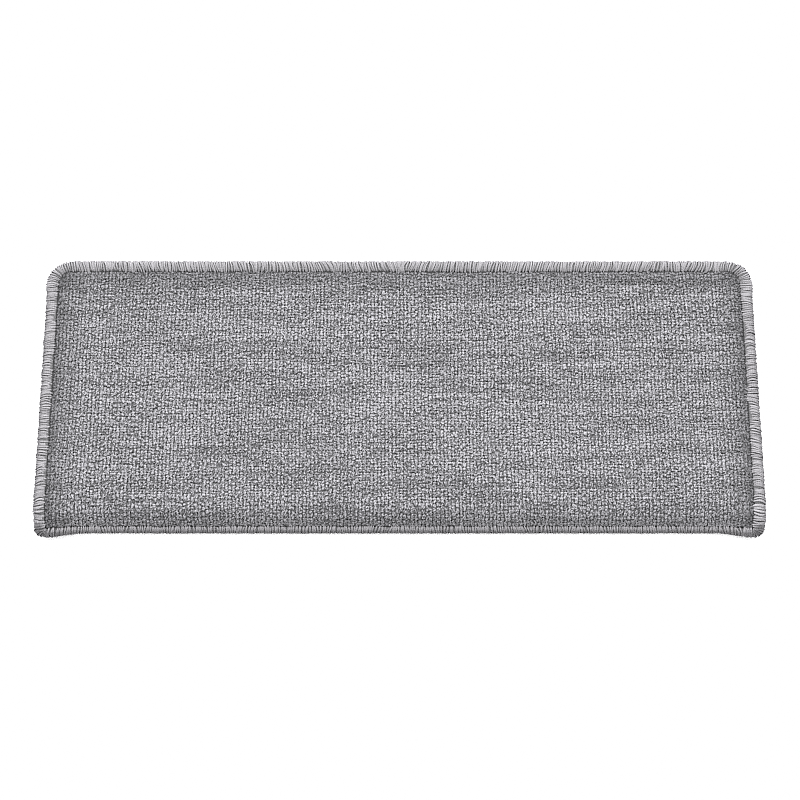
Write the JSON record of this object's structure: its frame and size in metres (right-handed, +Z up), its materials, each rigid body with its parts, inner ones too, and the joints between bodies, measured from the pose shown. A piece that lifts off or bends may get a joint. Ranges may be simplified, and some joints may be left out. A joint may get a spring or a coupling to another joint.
{
  "type": "anti slip stair tread mat",
  "caption": "Carpet stair tread mat: a rectangle of loop-pile carpet on an anti-slip backing, yarn-wrapped edge all round, front edge bent down to lap over the nosing of the step.",
  "frame": {"origin": "centre of the bounding box's underside, on the surface that the mat lies on", "axes": "+X along the width of the step, the bent nose faces -Y, +Z up, as the mat lies at rest on a floor on its rear edge and on the tip of its lip"},
  "size_m": [0.65, 0.2676, 0.0291],
  "materials": {
    "pile": "heather grey level loop pile, matt",
    "backing": "matt moulded rubber with a fine grip texture",
    "edge_yarn": "grey wrapped yarn, slight sheen"
  },
  "bodies": {
    "root": {"loop_pile_carpet": "pile", "anti_slip_backing": "backing", "overlocked_yarn_edge": "edge_yarn"}
  },
  "joints": []
}
